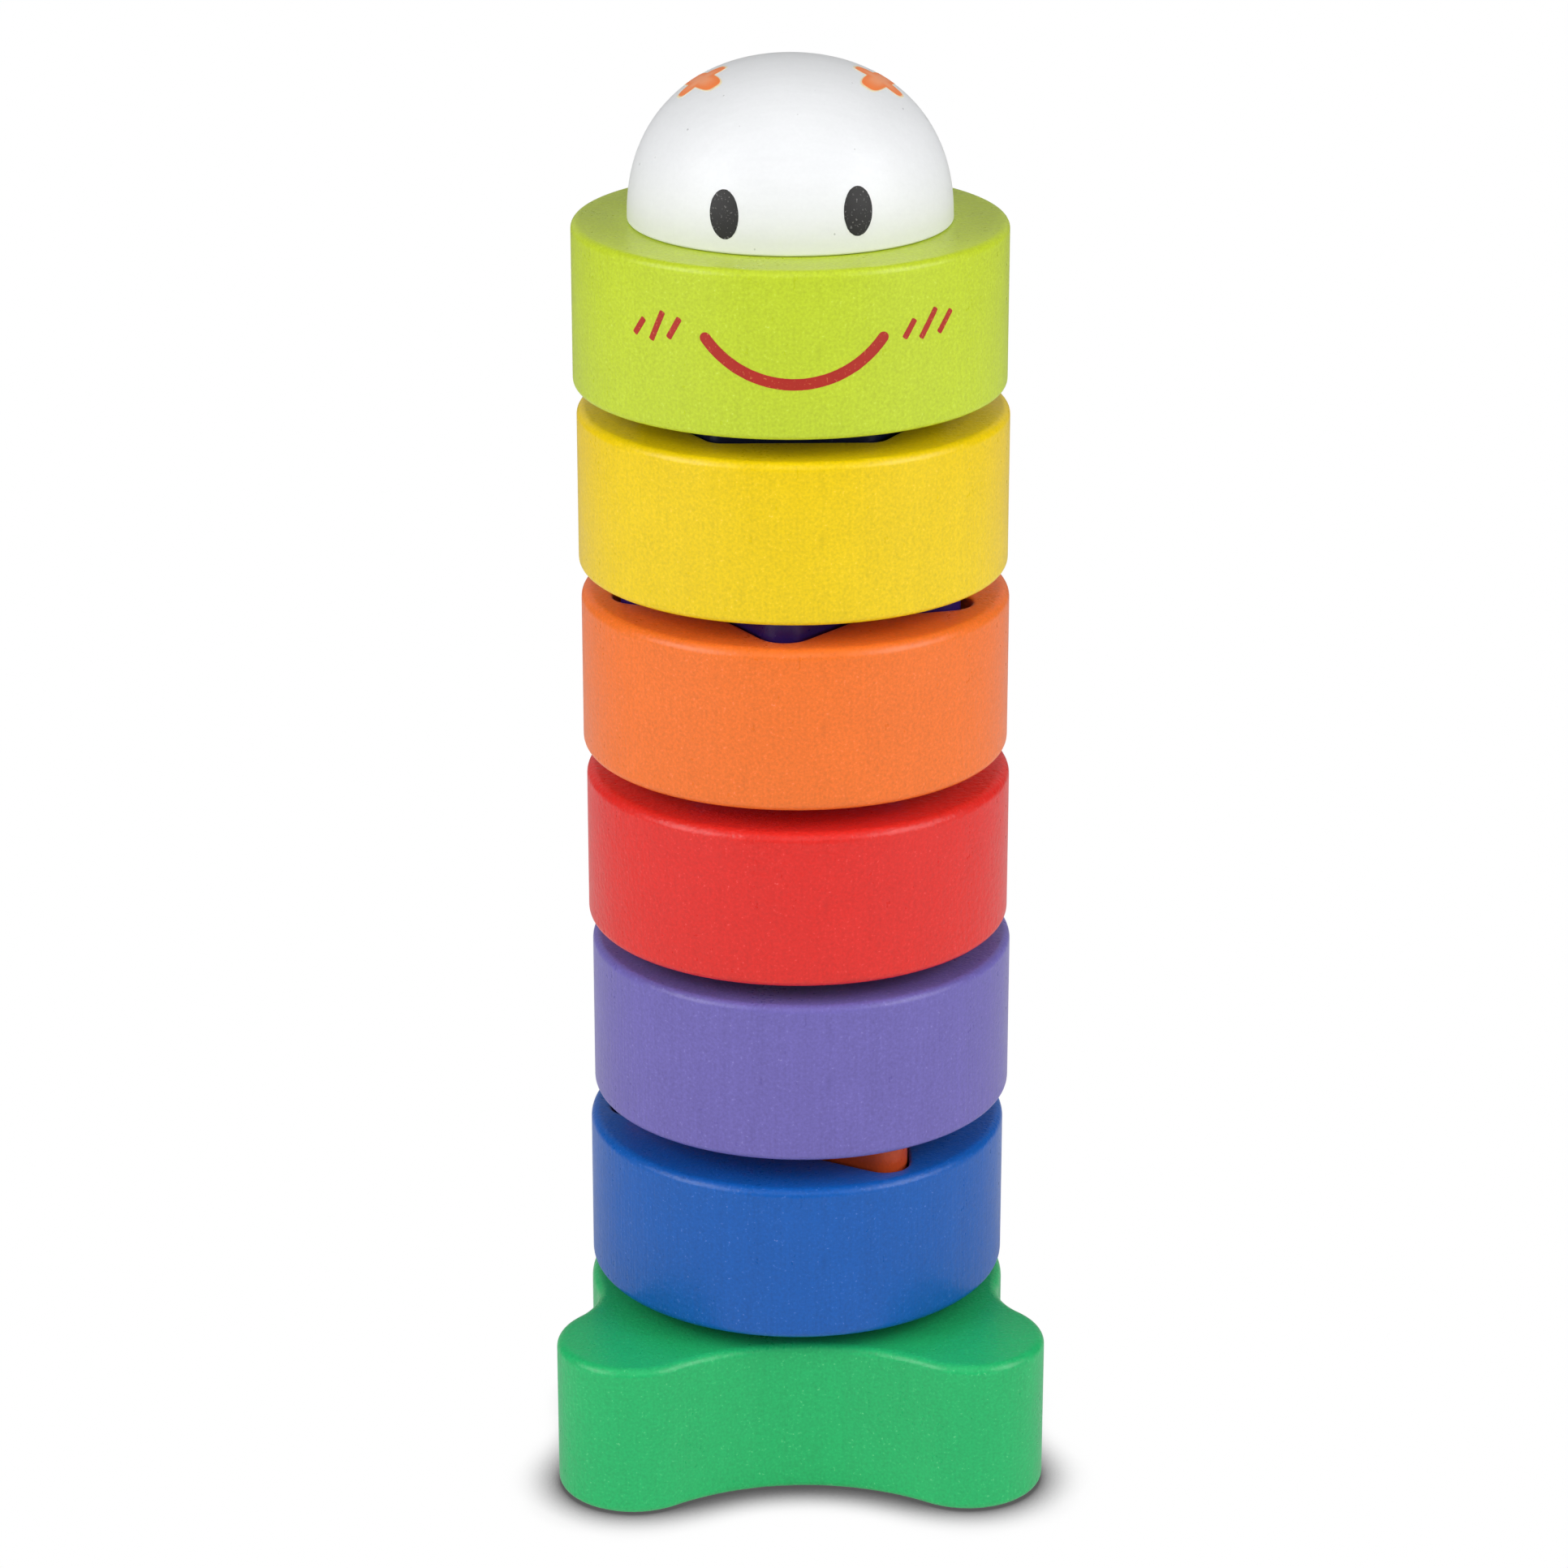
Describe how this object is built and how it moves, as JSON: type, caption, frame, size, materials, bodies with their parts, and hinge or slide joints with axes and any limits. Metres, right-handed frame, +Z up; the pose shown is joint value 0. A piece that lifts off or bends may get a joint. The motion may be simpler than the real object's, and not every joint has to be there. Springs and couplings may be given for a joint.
{
  "type": "stacking figure toy",
  "caption": "Wooden stacking figure: a footed base, round blocks with shaped keys and pockets, and a smiling domed head that lift off one by one.",
  "frame": {"origin": "on the floor under the tower's axis, in the base block's underside", "axes": "+Z up along the tower, -Y towards the side that the face and the two feet point to, +X to the right of a viewer who faces the figure"},
  "size_m": [0.0698, 0.0643, 0.2031],
  "materials": {
    "paint_green": "satin water-based paint over wood",
    "paint_blue": "satin water-based paint over wood",
    "paint_purple": "satin water-based paint over wood",
    "paint_red": "satin water-based paint over wood",
    "paint_orange": "satin water-based paint over wood",
    "paint_yellow": "satin water-based paint over wood",
    "paint_lime": "satin water-based paint over wood",
    "paint_white": "satin water-based paint over wood",
    "paint_navy": "satin water-based paint over wood",
    "paint_violet": "satin water-based paint over wood",
    "paint_vermilion": "satin water-based paint over wood",
    "paint_sky": "satin water-based paint over wood",
    "paint_amber": "satin water-based paint over wood",
    "bare_beech": "bare turned beech"
  },
  "bodies": {
    "base": {"base_block": "paint_green"},
    "blue_body": {"blue_disc": "paint_blue", "blue_disc_oval_key": "paint_amber", "blue_disc_key_dowel": "bare_beech"},
    "purple_body": {"purple_disc": "paint_purple", "purple_disc_triangle_key": "paint_vermilion", "purple_disc_key_dowel": "bare_beech"},
    "red_body": {"red_disc": "paint_red", "red_disc_cross_key": "paint_green", "red_disc_key_dowel": "bare_beech"},
    "orange_body": {"orange_disc": "paint_orange", "orange_disc_square_key": "paint_sky", "orange_disc_key_dowel": "bare_beech"},
    "yellow_body": {"yellow_disc": "paint_yellow", "yellow_disc_star_key": "paint_violet", "yellow_disc_key_dowel": "bare_beech"},
    "head": {"head_ring": "paint_lime", "head_hexagon_key": "paint_navy", "head_key_dowel": "bare_beech", "head_dome": "paint_white", "dome_dowel": "bare_beech"}
  },
  "joints": [
    {"name": "blue_lift", "type": "slide", "parent": "base", "child": "blue_body", "axis": [0, 0, 1], "range_m": [0, 0.03]},
    {"name": "purple_lift", "type": "slide", "parent": "blue_body", "child": "purple_body", "axis": [0, 0, 1], "range_m": [0, 0.03]},
    {"name": "red_lift", "type": "slide", "parent": "purple_body", "child": "red_body", "axis": [0, 0, 1], "range_m": [0, 0.03]},
    {"name": "orange_lift", "type": "slide", "parent": "red_body", "child": "orange_body", "axis": [0, 0, 1], "range_m": [0, 0.03]},
    {"name": "yellow_lift", "type": "slide", "parent": "orange_body", "child": "yellow_body", "axis": [0, 0, 1], "range_m": [0, 0.03]},
    {"name": "head_lift", "type": "slide", "parent": "yellow_body", "child": "head", "axis": [0, 0, 1], "range_m": [0, 0.03]}
  ]
}
